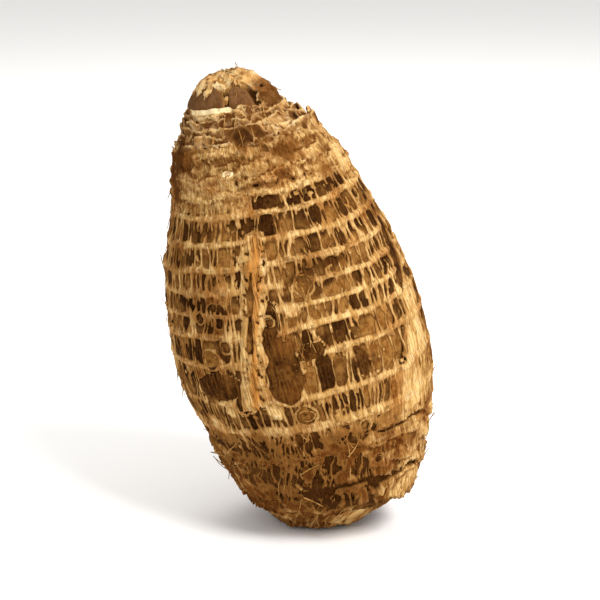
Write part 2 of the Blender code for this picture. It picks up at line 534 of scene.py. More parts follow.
def bark(barrel, at):
    """What the bark does at each place: a dict of arrays.

    cover     how far inside the bark the place is, in mm; below 0 it is bare
    body      1 on a leaf scar or fibre, 0 on the thin skin between them
    cell      how light the cell of the net is, from 0 to 1.3, with painted shade toward its top
    raised    height of the bark over the skin, in mm
    dull  how brown it has gone, and painted shade, from 0 to 1; up to 2 in a hollow painted dark
    scar      how far outside a root scar the place is, in mm
    pale      from 0 to 1, how pale and closed the bark is
    bare      how far inside a bare patch the place is, in mm
    on_ridge  how far inside the strip down the front the place is, in mm
    """
    height, papered, matted = at.height, papery(at), at.rise(*MATTED)
    ringed = height + 1.2 * at.wander(26, 22, 1) + 0.6 * at.wander(7, 8, 2)
    ringed = ringed + matted * 1.5 * at.wander(11, 30, 52)
    row = np.clip(np.searchsorted(LEAF_SCARS, ringed) - 1, -1, len(LEAF_SCARS) - 1)
    scars = np.array((0.0, *LEAF_SCARS, LAST_RING))
    below, above = scars[row + 1], scars[row + 2]
    share = (ringed - below) / (above - below)
    to_scar = least(ringed - below, above - ringed)
    nearest = np.where(ringed - below < above - ringed, below, above)
    pale, dulled_and_shaded = at.near(PALE_PLACES), at.near(DULL_AND_SHADED_PLACES)

    # the leaf scars, with a fringe of short fibres, and the strands between them
    leaf_scar = Spots(nearest * 3.0, at.angle)
    faint = leaf_scar.blots(0.2, 0.6, 17, 1, 50)
    scar_width = 1.0 + 0.7 * leaf_scar.wander(8, 1, 3) - 1.1 * faint - 0.5 * matted
    scar_cover = scar_width + 0.9 * (nearest == BROAD_SCAR) - to_scar
    wobble = 0.8 * at.wander(4, 6, 4) + matted * 1.2 * at.wander(6, 5, 15)
    strand_cover, cell = strand_net(barrel, at, row, share, wobble)
    # golden places, and painted shade: each cell is darker toward its top, under the leaf scar above
    cell = cell + 0.7 * at.near(GOLDEN_PLACES) + 0.35 * (0.5 - share)
    cell = cell + (0.34 * at.rise(72, 84) * at.rise(118, 108)
                   * at.sweep(-118, -98) * at.sweep(-20, -40))
    net = fuse(scar_cover, fringe(at, ringed, nearest, to_scar), 0.5)
    net = fuse(net, strand_cover, 0.7)
    crumbs = 1.8 * (at.wander(2.0, 2.6, 53) - 0.5)
    closed = closed_bark(at, cell, share, pale, papered, matted)
    cover = most(net, closed, crumbs) + 0.25 * at.wander(1.4, 1.8, 8)
    body = ease(-0.35, 0.45, most(net, crumbs) + 0.4 * at.wander(1.3, 10, 17))
    body = body * (1 - 0.5 * papered) + papered * 0.6 * at.blots(-0.25, 0.3, 8, 2.6, 18)
    body = most(body, pale * at.blots(-0.5, 0.2, 2.5, 5, 54))
    threads = np.cos(7.5 * (ringed - nearest) + 2.5 * at.wander(9, 9, 68))
    raised = 0.12 + 0.2 * body + ease(-0.5, 0.9, scar_cover) * (0.38 + 0.16 * threads)
    raised = raised + 0.1 * at.wander(0.9, 14, 9) + 0.2 * at.wander(14, 14, 10)
    raised = raised + papered * (0.5 * at.wander(9, 1.7, 19) + 0.2)

    # low down the bark hangs in ragged layers, and near the shoot it stands up in them
    hang, stand = folds(at, 7.6, 6.5, 58), folds(at, 4.6, 3.2, 59)
    some = at.blots(-0.35, 0.1, 18, 9, 60)
    overhang, shade = ledge_lift(at)
    raised = raised + overhang
    raised = raised + matted * some * (1.3 * (1 - hang) ** 2 + 0.35 * at.wander(6, 1.6, 55))
    raised = raised + papered * some * 0.8 * stand ** 2
    body = body * (1 - 0.45 * matted) + matted * some * 0.8 * ease(0.16, 0.04, hang)
    body = body + matted * 0.8 * at.blots(0.1, 0.5, 2.2, 5, 63)
    body = body + papered * some * 0.5 * ease(0.8, 0.95, stand)
    # painted shadow under each hanging layer low down and each standing layer near the shoot
    shadow = matted * some * ease(0.7, 0.95, hang)
    shadow = shadow + papered * some * ease(0.2, 0.03, stand)
    # painted shade in a band just under each leaf scar
    to_next = above - ringed
    shade_under_ring = ease(0.7, 1.1, to_next) * ease(2.6, 1.5, to_next) * (1 - faint)
    dull = most(dulled_and_shaded * (1 - pale), shadow * 1.3, 0.6 * shade_under_ring * (1 - pale))
    dull = most(dull, papered * 0.3 * at.blots(0.1, 0.45, 5.5, 3, 61))

    # torn edges of the bark round its bare patches are paler and turned up a little
    bare = bare_patches(at)
    lip = ease(-1.7, -0.7, bare) * at.blots(-0.4, 0.3, 6, 6, 56)
    lip = most(lip, ease(-3.6, -2.0, bare) * at.rise(67, 64) * at.rise(55, 58))
    cover = least(most(cover, 0.9 * lip - 0.3), -bare)
    body = most(body, lip)
    raised = raised + 0.25 * lip

    # the strip down the front, its slit and its ragged edge
    off = at.off(ridge_angle(height))
    ragged = 1.7 * at.wander(40, 2.4, 11) * (off > 0) + 1.0 * at.wander(40, 5, 45)
    split = RIDGE_TOP[0] - height - 0.9 * abs(off - 1) + 3.5 * at.wander(2.4, 30, 48)
    on_ridge = least(RIDGE_HALF_WIDTH + ragged - abs(off), height - RIDGE_FOOT[0], split)
    body = most(body, ease(-0.3, 0.4, on_ridge))
    raised = raised + ease(-0.2, 2.6, on_ridge) * (0.9 + 0.6 * at.wander(3, 5, 46))
    slit = 0.85 + 0.6 * at.wander(30, 5, 14) - abs(off + 0.8)
    slit = least(slit, least(height - SLIT_FROM, SLIT_TO - height) * 0.2)
    cover = least(fuse(cover, on_ridge, 0.4), -slit)
    browned = np.clip(0.6 + 0.9 * at.wander(7, 3.2, 62), 0, 1)
    dull = dull * (1 - ease(-0.5, 0.5, on_ridge)) + browned * matted * (1 - pale)
    # painted shadow under the ledges
    dull = most(dull, (1.3 - 0.5 * papered) * shade)

    # bleached edges along the strip, and bleached blots
    edge = abs(off - 3.7 - 0.5 * at.wander(30, 4, 70))
    edge = least(edge, abs(off + 4.3) + 0.5)
    strip = ease(1.6, 0.9, edge) * ease(-1, 0.3, on_ridge)
    strip = strip * at.blots(-0.35, 0.1, 20, 3, 71)
    blotched = pale + 0.5 * at.wander(3, 7, 72) + 0.5 * at.wander(11, 9, 73)
    blotched = most(0.9 * ease(0.4, 1.0, blotched), 0.7 * papered * at.blots(0.05, 0.5, 6, 1.7, 74))
    # the fibre is painted less pale in the shadow under the ledges, and bleached less where shaded or
    # browned
    body = np.clip(body - 0.5 * shade, 0, 1)
    body = body + most(strip, 0.9 * lip, blotched) * (1 - dull)

    # the bark gapes under the ledges, where the skin shows in painted shadow, is pitted all over and
    # sinks in the shoulder's hollow, painted dark as shade
    gape = 0.5 + 1.3 * papered + 0.5 * at.wander(4, 4, 69) - 1.5 * shade
    cover = np.where(shade > 0.05, least(cover, gape), cover)
    pits = ease(2.2, 1.0, abs(abs(off) - 3.0)) * ease(-3, 1, on_ridge)
    cover = least(cover, 1.4 * (0.95 - at.wander(1.5, 1.8, 65) - 0.55 * pits))
    hollow = papered * ease(0.6, 1.0, dulled_and_shaded)
    raised = raised - 0.5 * hollow

    # root scars: a bare disc in a low rim
    scar = root_scar_gaps(at)
    rim = ease(1.0, 0.2, abs(scar - 0.4))
    cover = fuse(cover, 0.42 - abs(scar - 0.35) + 0.5 * at.wander(3, 3, 49), 0.3)
    cover = np.where(scar < 0, least(cover, scar + 0.2), cover)
    return {"cover": cover, "body": most(body, rim * 0.6), "cell": np.clip(cell, 0, 1.3),
            "raised": raised + 0.08 * rim, "dull": np.clip(dull, 0, 1) + hollow,
            "scar": scar, "pale": pale, "bare": bare, "on_ridge": on_ridge}


# ---- meshes ----
def finished_mesh(name, points, faces, marks, flat_map, material):
    """A smooth mesh from arrays: points in mm, faces, named point values and a UV map.
    It is flattened where it would reach under the foot."""
    points[:, 2] = most(points[:, 2], 0)
    mesh = bpy.data.meshes.new(name)
    mesh.vertices.add(len(points))
    mesh.vertices.foreach_set("co", (points * MM).astype(np.float32).ravel())
    mesh.loops.add(faces.size)
    mesh.loops.foreach_set("vertex_index", faces.astype(np.int32).ravel())
    mesh.polygons.add(len(faces))
    starts = np.arange(len(faces)) * faces.shape[1]
    mesh.polygons.foreach_set("loop_start", starts.astype(np.int32))
    mesh.update(calc_edges=True)
    for mark, values in marks.items():
        kind, key = ("FLOAT", "value") if values.ndim == 1 else ("FLOAT_VECTOR", "vector")
        layer = mesh.attributes.new(mark, kind, "POINT")
        layer.data.foreach_set(key, values.astype(np.float32).ravel())
    corners = flat_map[faces.ravel()].reshape(len(faces), -1, 2)
    across_seam = np.ptp(corners[..., 0], axis=1) > 0.5
    corners[across_seam, :, 0] += corners[across_seam, :, 0] < 0.5
    layer = mesh.uv_layers.new(name="OFBake")
    layer.data.foreach_set("uv", corners.astype(np.float32).ravel())
    mesh.validate()
    mesh.shade_smooth()
    mesh.materials.append(material)
    piece = bpy.data.objects.new(name, mesh)
    bpy.context.scene.collection.objects.link(piece)
    return piece


def unrolled(path, angle):
    """UV places: the bark unrolled, with its seam at the back."""
    return np.stack([(angle - BACK) % 360 / 360, (path + FOOT_PATH) / (FOOT_PATH + SKIN_END)], -1)


def grain(height, angle):
    """Places stretched along the fibres, so that noise read there makes streaks."""
    turn = np.radians(angle)
    shorter = 0.045 * np.clip(height - 128, 0, None) - 0.03 * np.clip(46 - height, 0, None)
    return np.stack([np.cos(turn) * 5, np.sin(turn) * 5, height * 0.012 + shorter], -1)


def triples(a, b, c):
    return np.stack([a, b, c], 1)


def barrel_grid(paths, columns):
    """Rows of points round the corm: their paths and angles, and the triangles between."""
    angles = -180 + 360 / columns * np.arange(columns)
    path, angle = [g.ravel() for g in np.meshgrid(paths, angles, indexing="ij")]
    cells = np.meshgrid(np.arange(len(paths) - 1), np.arange(columns), indexing="ij")
    i, j = [g.ravel() for g in cells]
    here, beside = i * columns + j, i * columns + (j + 1) % columns
    return path, angle, np.concatenate([triples(here, beside, beside + columns),
                                        triples(here, beside + columns, here + columns)])


def clip_sheet(cover, corners):
    """Cuts a triangle mesh where cover is 0. Gives its triangles, the cut edges as pairs of
    old points with the share along each, and the rim as pairs of new points."""
    inside = cover[corners] > 0
    count = inside.sum(1)

    def rolled(which, first):
        chosen = corners[which]
        turns = first[which].argmax(1)
        return np.stack([chosen[np.arange(len(chosen)), (turns + k) % 3] for k in range(3)], 1)

    one, two = rolled(count == 1, inside), rolled(count == 2, ~inside)
    pairs = np.concatenate([one[:, [0, 1]], one[:, [0, 2]], two[:, [0, 1]], two[:, [0, 2]]])
    keys = np.sort(pairs, 1)
    edges, index = np.unique(keys[:, 0] * np.int64(len(cover)) + keys[:, 1], return_inverse=True)
    ends = np.stack([edges // len(cover), edges % len(cover)], 1)
    index = index.ravel() + len(cover)
    a, b = len(one), len(two)
    ab, ac, cd, ce = np.split(index, [a, 2 * a, 2 * a + b])
    triangles = np.concatenate([corners[count == 3], triples(one[:, 0], ab, ac),
                                triples(cd, two[:, 1], two[:, 2]), triples(cd, two[:, 2], ce)])
    rim = np.concatenate([np.stack([ab, ac], 1), np.stack([ce, cd], 1)])
    values = cover[ends]
    shares = np.clip(values[:, 0] / (values[:, 0] - values[:, 1]), 0.06, 0.94)
    return triangles, ends, shares, rim


SHELL_MARKS = ("cover", "body", "cell", "warm", "dull")


def shell(surface, low, high, fields, columns, step):
    """A closed shell of bark over a surface, wherever its fields say that there is cover.
    Its fields also give, in mm over the skin:

    lift   the height of its outer face
    under  the height of its inner face, mostly sunk in the skin and so out of sight
    """
    height, angle, corners = barrel_grid(np.arange(low, high + step, step), columns)
    values = fields(surface.spots(height, angle))
    triangles, ends, shares, rim = clip_sheet(values["cover"], corners)
    cut_angle = angle[ends[:, 0]] + shares * turned(angle[ends[:, 1]] - angle[ends[:, 0]])

    def carried(value):
        between = value[ends[:, 0]] * (1 - shares) + value[ends[:, 1]] * shares
        return np.concatenate([value, between])

    used, triangles = np.unique(triangles, return_inverse=True)
    triangles = triangles.reshape(-1, 3)
    rim = np.searchsorted(used, rim)
    height, angle = carried(height)[used], np.concatenate([angle, cut_angle])[used]
    values = {mark: carried(value)[used] for mark, value in values.items()}
    skin, normal = surface.place(height, angle), surface.outward(height, angle)
    points = np.concatenate([skin + normal * values[side][:, None] for side in ("lift", "under")])
    count, (start, end) = len(skin), rim.T
    faces = np.concatenate([triangles, triangles[:, ::-1] + count,
                            triples(end, start, start + count),
                            triples(end, start + count, end + count)])
    marks = {mark: np.concatenate([values[mark]] * 2) for mark in SHELL_MARKS}
    marks["grain"] = np.concatenate([grain(height, angle)] * 2)
    return points, faces, marks, np.concatenate([unrolled(height, angle)] * 2)


def joined(parts):
    """Several shells as the arrays of one mesh."""
    points, faces, marks, flat_maps = zip(*parts)
    starts = np.cumsum([0] + [len(p) for p in points[:-1]])
    faces = np.concatenate([f + start for f, start in zip(faces, starts)])
    marks = {mark: np.concatenate([m[mark] for m in marks]) for mark in marks[0]}
    return np.concatenate(points), faces, marks, np.concatenate(flat_maps)


# ---- nodes ----
class Socket:
    """A node's output. Python's arithmetic on it adds Math nodes."""

    def __init__(self, wiring, socket):
        self.wiring, self.socket = wiring, socket

    def maths(self, operation, *values):
        inputs = dict(enumerate(values))
        return self.wiring.node("ShaderNodeMath", {"operation": operation}, inputs)["Value"]

    def __add__(self, other):
        return self.maths("ADD", self, other)

    def __radd__(self, other):
        return self.maths("ADD", other, self)

    def __sub__(self, other):
        return self.maths("SUBTRACT", self, other)

    def __rsub__(self, other):
        return self.maths("SUBTRACT", other, self)

    def __mul__(self, other):
        return self.maths("MULTIPLY", self, other)

    def __rmul__(self, other):
        return self.maths("MULTIPLY", other, self)

    def between(self, low, high):
        """0 below low, 1 above high and smooth between them; low may be the larger."""
        settings = {"data_type": "FLOAT", "interpolation_type": "SMOOTHSTEP"}
        ends = {"Value": self, "From Min": min(low, high), "From Max": max(low, high)}
        step = self.wiring.node("ShaderNodeMapRange", settings, ends)["Result"]
        return 1 - step if low > high else step


def socket_named(sockets, key):
    """A socket by its number, or the one in use that has this name."""
    if isinstance(key, int):
        return sockets[key]
    return next(socket for socket in sockets if socket.enabled and socket.name == key)


class Outputs:
    """A node's outputs by name."""

    def __init__(self, wiring, made):
        self.wiring, self.made = wiring, made

    def __getitem__(self, key):
        return Socket(self.wiring, socket_named(self.made.outputs, key))


class Wiring:
    """Adds nodes to a tree."""

    def __init__(self, tree):
        self.tree = tree

    def connect(self, socket, value):
        if isinstance(value, Socket):
            self.tree.links.new(value.socket, socket)
        elif socket.type == "RGBA":
            socket.default_value = (*value, 1)
        else:
            socket.default_value = value

    def node(self, kind, settings=None, inputs=None):
        made = self.tree.nodes.new(kind)
        for name, value in (settings or {}).items():
            setattr(made, name, value)
        for key, value in (inputs or {}).items():
            self.connect(socket_named(made.inputs, key), value)
        return Outputs(self, made)


class Finish(Wiring):
    """A material built from nodes."""

    SPECULAR = 0.01    # dry bark hardly shines

    def __init__(self, name, colours, main):
        self.colours = colours
        self.material = bpy.data.materials.new(name)
        self.material.use_nodes = True
        self.material.diffuse_color = (*getattr(colours, main), 1)
        super().__init__(self.material.node_tree)
        self.surface = self.tree.nodes["Principled BSDF"]

    def mark(self, name, output="Fac"):
        settings = {"attribute_type": "GEOMETRY", "attribute_name": name}
        return self.node("ShaderNodeAttribute", settings)[output]

    def marks(self, *names):
        return [self.mark(name) for name in names]

    def streaks(self, *noises):
        """Noise stretched along the fibres: one for each (scale, detail, roughness)."""
        return self.speckles(self.mark("grain", "Vector"), noises)

    def spots(self, *noises):
        """Noise as wide as it is tall: one for each (scale, detail, roughness)."""
        return self.speckles(self.node("ShaderNodeTexCoord")["Object"], noises)

    def speckles(self, vector, noises):
        made = []
        for scale, detail, roughness in noises:
            inputs = {"Vector": vector, "Scale": scale, "Detail": detail, "Roughness": roughness}
            made.append(self.node("ShaderNodeTexNoise", {"noise_dimensions": "3D"}, inputs)["Fac"])
        return made

    def mix(self, share, first, second, blend="MIX"):
        """Two colours mixed; each may be the name of a setting."""
        first, second = [getattr(self.colours, colour) if isinstance(colour, str) else colour
                         for colour in (first, second)]
        settings = {"data_type": "RGBA", "blend_type": blend}
        inputs = {"Factor": share, "A": first, "B": second}
        return self.node("ShaderNodeMix", settings, inputs)["Result"]

    def coats(self, colour, *coats):
        """A colour with others over it, each as (share, colour) or (share, colour, blend)."""
        for share, over, *blend in coats:
            colour = self.mix(share, colour, over, *blend)
        return colour

    def finish(self, colour, roughness, relief, depth):
        """Colour, roughness and a bump whose height is relief times depth, in metres."""
        self.connect(self.surface.inputs["Base Color"], colour)
        self.connect(self.surface.inputs["Roughness"], roughness)
        self.surface.inputs["Specular IOR Level"].default_value = self.SPECULAR
        bump = self.node("ShaderNodeBump", None, {"Height": relief, "Distance": depth})
        self.connect(self.surface.inputs["Normal"], bump["Normal"])
        return self.material


def fibre_finish(name, colours):
    """Dry bark fibre: straw with fine brown streaks, stained, browned toward its edges and painted
    dark with shade along its rim, under ledges and rings and in hollows.
    """
    f = Finish(name, colours, "straw")
    fine, coarse = f.streaks((15.0, 3.0, 0.6), (5.0, 3.0, 0.55))
    grit, blotch, mottle = f.spots((1100.0, 2.0, 0.6), (75.0, 4.0, 0.6), (330.0, 4.0, 0.65))
    body, cover, cell, warm, dull = f.marks("body", "cover", "cell", "warm", "dull")
    bleached = (body + (mottle - 0.5) * 0.8).between(1.1, 1.8)
    body = (body + (mottle - 0.5) * 1.2).between(0.15, 0.85)
    pale = f.coats(
        "straw",
        (coarse.between(0.38, 0.6), "highlight"),
        (fine.between(0.55, 0.38) * 0.8, "ochre"),
        (mottle.between(0.53, 0.64) * 0.65, "bark"),
    )
    web = f.coats(
        "bark",
        ((fine * 0.6 + mottle * 0.4).between(0.42, 0.58), "ochre"),
        (cell.between(0.3, 0.95) * 0.6, "tan"),
        (coarse.between(0.55, 0.66) * 0.55, "straw"),
    )
    bleach = f.mix(mottle.between(0.45, 0.6), "highlight", "cream")
    colour = f.coats(
        web,
        (body, pale),
        (bleached * 0.6, f.mix(fine.between(0.42, 0.62), "straw", bleach)),
        (blotch.between(0.46, 0.64) * 0.8, (0.6, 0.4, 0.24), "MULTIPLY"),
        # browning, and painted shade under ledges, folds and leaf scars, low on the left and, darkest,
        # in hollows
        (dull, (0.44, 0.285, 0.17), "MULTIPLY"),
        (dull.between(0.7, 1.0) * 0.4, "bark"),
        (dull.between(1.1, 1.8) * 0.85, f.mix(fine, "skin", "bark")),
        # ochre toward the edges of the bark, then painted shade along its rim
        (cover.between(0.6, 0.1) * 0.5, "ochre"),
        (cover.between(0.2, -0.02) * 0.6, "bark"),
        (grit.between(0.62, 0.72) * 0.45, "bark"),
        (warm, f.mix(fine.between(0.35, 0.6), "rust", "orange")),
    )
    relief = fine * 0.7 + grit * 0.3 + mottle * 0.5
    return f.finish(colour, 0.72 + 0.2 * mottle, relief, 0.0006)


def skin_finish(name, colours):
    """The brown skin in the cells of the net: streaked, each cell a little different, with painted
    shade toward each cell's top, next to the bark, under ledges and in hollows.
    """
    f = Finish(name, colours, "skin")
    fine, coarse = f.streaks((14.0, 3.0, 0.6), (5.0, 3.0, 0.55))
    grit, blotch, mottle = f.spots((1200.0, 2.0, 0.6), (110.0, 4.0, 0.6), (380.0, 4.0, 0.65))
    cell, cover, warm, body = f.marks("cell", "cover", "warm", "body")
    bare, pale, dull = f.marks("bare", "pale", "dull")
    cell = cell * (1 - 0.7 * bare) + (blotch - 0.5) * 1.4
    golden_and_lit = cell.between(0.65, 1.15)
    golden = f.coats(
        "umber",
        (mottle.between(0.42, 0.56), "ochre"),
        (fine.between(0.5, 0.36) * 0.6, "bark"),
    )
    colour = f.coats(
        "deep",
        (fine.between(0.36, 0.62), "skin"),
        (cell.between(0.15, 0.75), f.mix(fine.between(0.35, 0.6), "skin", "bark")),
        (coarse.between(0.5, 0.62) * 0.45, "umber"),
        (fine.between(0.57, 0.66) * (1 - bare) * 0.55, "tan"),
        (mottle.between(0.54, 0.66) * (1 - 0.6 * bare) * 0.5, "umber"),
        (mottle.between(0.46, 0.36) * 0.5, "deep"),
        (grit.between(0.6, 0.7) * 0.45, "ochre"),
        # painted shade on the skin next to the bark round it
        (cover.between(-0.9, -0.1) * (1 - 0.5 * bare) * 0.7, "deep"),
        # golden cells, with painted light toward the foot of each cell
        (golden_and_lit * (1 - bare) * 0.85, golden),
        (warm, f.mix(fine.between(0.42, 0.62), "rust", "umber")),
        (pale * mottle.between(0.4, 0.6) * 0.8, "ochre"),
        # browning, and painted shade under ledges and leaf scars, low on the left and in hollows
        (dull.between(0.0, 1.0) * 0.6, "deep"),
        (body, f.mix(mottle, "ochre", "straw")),
    )
    relief = fine * 0.5 + mottle * 0.6 + grit * 0.3
    return f.finish(colour, 0.6 + 0.3 * mottle, relief, 0.0005)


def stump_finish(name, colours):
    """Leaf bases: pale papery rims over brown and orange torn tissue."""
    f = Finish(name, colours, "tan")
    [fine] = f.streaks((16.0, 3.0, 0.6))
    mottle, blotch = f.spots((420.0, 4.0, 0.65), (120.0, 4.0, 0.6))
    body, cover, cell, warm, dull = f.marks("body", "cover", "cell", "warm", "dull")
    pale = f.coats(
        "straw",
        (fine.between(0.4, 0.6), "highlight"),
        (mottle.between(0.44, 0.6) * 0.65, "cream"),
    )
    colour = f.coats(
        "bark",
        (fine.between(0.36, 0.62), "tan"),
        (cell.between(0.35, 0.7), "ochre"),
        (body.between(0.0, 0.9), pale),
        (blotch.between(0.5, 0.64) * 0.6, (0.55, 0.36, 0.2), "MULTIPLY"),
        (body.between(1.1, 1.7), "cream"),
        (mottle.between(0.54, 0.66) * 0.5, "bark"),
        (warm, f.mix(fine.between(0.4, 0.6), "orange", "highlight")),
        # browning, and painted shade in the hollow by the shoot and on the right side of the tip
        (dull, (0.42, 0.28, 0.18), "MULTIPLY"),
        (dull.between(0.6, 0.95) * 0.6, f.mix(fine, "skin", "bark")),
        (dull.between(1.1, 1.8) * 0.85, f.mix(fine, "deep", "skin")),
        (cover.between(0.25, 0.0) * 0.35, "bark"),
    )
    return f.finish(colour, 0.7 + 0.2 * mottle, fine * 0.6 + mottle * 0.5, 0.0006)


def scale_finish(name, colours):
    """Smooth brown scales, worn pale at the edges."""
    f = Finish(name, colours, "scale")
    [fine], [mottle] = f.streaks((14.0, 3.0, 0.6)), f.spots((300.0, 4.0, 0.6))
    cover, body = f.marks("cover", "body")
    colour = f.coats(
        "bark",
        (fine.between(0.35, 0.65), "scale"),
        (mottle.between(0.45, 0.65) * 0.6, "skin"),
        (body * 0.6, "tan"),
        (cover.between(0.5, 0.1) * 0.7, "ochre"),
    )
    return f.finish(colour, 0.5 + 0.2 * mottle, fine * 0.4 + mottle * 0.4, 0.0003)


def scar_finish(name, colours):
    """Root scars: a brown core in a paler ring."""
    f = Finish(name, colours, "bark")
    grit, mottle = f.spots((1300.0, 2.0, 0.6), (520.0, 4.0, 0.65))
    body, pale = f.marks("body", "pale")
    colour = f.coats(
        "skin",
        (mottle.between(0.42, 0.58), "umber"),
        (grit.between(0.52, 0.62) * 0.7, "ochre"),
        (body * 0.8, f.mix(mottle.between(0.4, 0.6), "ochre", "straw")),
        (pale * 0.9, f.mix(mottle.between(0.45, 0.6), "cream", "straw")),
    )
    return f.finish(colour, 0.7 + 0.2 * mottle, mottle * 0.7 + grit * 0.3, 0.0006)


def hair_finish(name, colours):
    """Loose fibres and chips: straw, tan and brown from place to place."""
    f = Finish(name, colours, "tan")
    patch, grit = f.spots((160.0, 2.0, 0.6), (900.0, 2.0, 0.55))
    colour = f.coats(
        "ochre",
        (patch.between(0.42, 0.6), "straw"),
        (grit.between(0.5, 0.64) * 0.6, "bark"),
    )
    return f.finish(colour, 0.75 + 0.1 * grit, grit, 0.0002)


# ---- settings ----
def colour_property(name, description, default):
    return FloatVectorProperty(name=name, description=description, default=default,
                               subtype="COLOR", size=3, min=0.0, max=1.0)


def length_property(name, description, default, least):
    """A length given in mm and kept in metres."""
    return FloatProperty(name=name, description=description, default=default * MM,
                         min=least * MM, subtype="DISTANCE", unit="LENGTH")


def share_property(name, description, default, least, most):
    return FloatProperty(name=name, description=description, default=default,
                         min=least, max=most, subtype="FACTOR")


def count_property(name, description, default, least):
    return IntProperty(name=name, description=description, default=default, min=least)


class TaroColours(bpy.types.PropertyGroup):
    highlight: colour_property("Highlight", "Palest, sun-bleached fibre", (0.69, 0.46, 0.19))
    straw: colour_property("Straw", "Ordinary dry fibre", (0.455, 0.255, 0.078))
    ochre: colour_property("Ochre", "Older, yellowed bark", (0.29, 0.134, 0.032))
    tan: colour_property("Tan", "Thin bark between fibres", (0.22, 0.104, 0.031))
    bark: colour_property("Bark", "Browned bark", (0.115, 0.042, 0.0085))
    skin: colour_property("Skin", "Skin in the cells of the net", (0.056, 0.018, 0.0032))
    # deep is also the colour of painted shade: beside the bark, under ledges and in hollows
    deep: colour_property("Deep skin", "Darkest skin, in slits and corners", (0.014, 0.0042, 0.0009))
    rust: colour_property("Rust", "Reddish bark near the root end", (0.100, 0.030, 0.0055))
    cream: colour_property("Cream", "Fresh papery edges at the stump", (0.82, 0.63, 0.35))
    scale: colour_property("Scale", "Smooth scales round the tip", (0.14, 0.072, 0.034))
    umber: colour_property("Umber", "Orange-brown streaks in the skin", (0.18, 0.068, 0.0125))
    orange: colour_property("Orange", "Freshly torn inner bark", (0.50, 0.20, 0.036))


class TaroSkin(bpy.types.PropertyGroup):
    columns: count_property("Columns", "Faces around the skin", 260, 60)
    row_height: length_property("Row height", "Height of one row of faces", 1.1, 0.2)
    roughness: length_property("Unevenness", "Height of the skin's small bumps", 0.25, 0.0)


class TaroBark(bpy.types.PropertyGroup):
    columns: count_property("Columns", "Cells around the bark net", 590, 90)
    row_height: length_property("Row height", "Height of one row of cells", 0.62, 0.2)
    thickness: share_property("Thickness", "Thickness of the bark", 1.0, 0.2, 3.0)


class TaroStump(bpy.types.PropertyGroup):
    columns: count_property("Columns", "Cells around the stump", 390, 90)
    row_height: length_property("Row height", "Height of one row of cells", 0.56, 0.2)


class TaroFibres(bpy.types.PropertyGroup):
    scar_ring: share_property("Scar ring", "Thickness of a root scar's ring, as a share of it",
                              0.12, 0.02, 0.4)
    amount: share_property("Amount", "Share of the usual number of fibres", 1.0, 0.0, 4.0)
    length: length_property("Length", "What the lengths of the loose fibres go by", 8, 1)
    chip: length_property("Chip", "Usual height of a chip of bark", 2.6, 0.5)


class TaroStage(bpy.types.PropertyGroup):
    elevation: FloatProperty(name="Camera elevation", description="Angle above the horizon",
                             default=math.radians(16), subtype="ANGLE", unit="ROTATION")
    distance: length_property("Camera distance", "From the middle of the corm", 700, 200)
    floor: colour_property("Floor", "Plain pale floor", (0.86, 0.85, 0.83))


# ---- operators ----
WORKSHOP = {}    # the barrel and the materials, each made once


def solid_barrel():
    if "barrel" not in WORKSHOP:
        WORKSHOP["barrel"] = Barrel(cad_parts["taro_corm"])
    return WORKSHOP["barrel"]


def material_for(finish, context):
    """The material that a finish makes, named after it."""
    if finish not in WORKSHOP:
        WORKSHOP[finish] = finish(finish.__name__, context.scene.taro_colours)
    return WORKSHOP[finish]


def skin_lift(at, found, roughness):
    """How far the skin stands out from the plain solid, in mm."""
    fade = at.rise(-1, 9) * at.rise(TIP_HEIGHT + 1, TIP_HEIGHT - 6)
    lift = roughness * (at.wander(5, 5, 21) + 0.6 * at.wander(1.8, 2.4, 22))
    lift = lift - 0.1 * found["body"] + 0.25 * ease(0, -1.2, found["cover"]) * fade
    dome = np.sin(math.pi * np.clip(1 + found["scar"] / 2.0, 0, 1)) * (found["scar"] < 0)
    foot_rings = 0.25 * np.cos(at.height * 2.4 + at.wander(12, 3, 23)) * at.rise(-1, -3)
    return lift * fade + 0.3 * dome * fade - foot_rings


def skin_marks(at, barrel_spots, found):
    """What the skin's finish reads, and where fibres (fluff) and root hairs (rooty) grow."""
    bare, torn_tip = ease(-0.3, 0.3, found["bare"]), at.rise(168.5, 171)
    rusty = most(barrel_spots.rise(50, 40) * 0.55, 0.8 * barrel_spots.near(RUSTY_PLACES))
    fluffy = 0.25 + 0.9 * at.rise(46, 30) + 1.2 * at.rise(146, 156)
    fluffy = fluffy * at.blots(-0.3, 0.5, 16, 14, 24) * at.rise(4, 8) * at.rise(178, 172)
    return {"cover": found["cover"], "cell": found["cell"], "dull": found["dull"],
            "pale": found["pale"] * (1 - found["dull"]), "bare": bare,
            "warm": most(rusty, 0.8 * torn_tip),
            "body": most(0.8 * torn_tip, at.rise(6, 3) * at.rise(0, 1.5) * 0.5),
            "rooty": at.rise(60, 30) * at.rise(2, 6) * at.blots(-0.1, 0.5, 20, 12, 25),
            "fluff": fluffy * (1 - bare)}


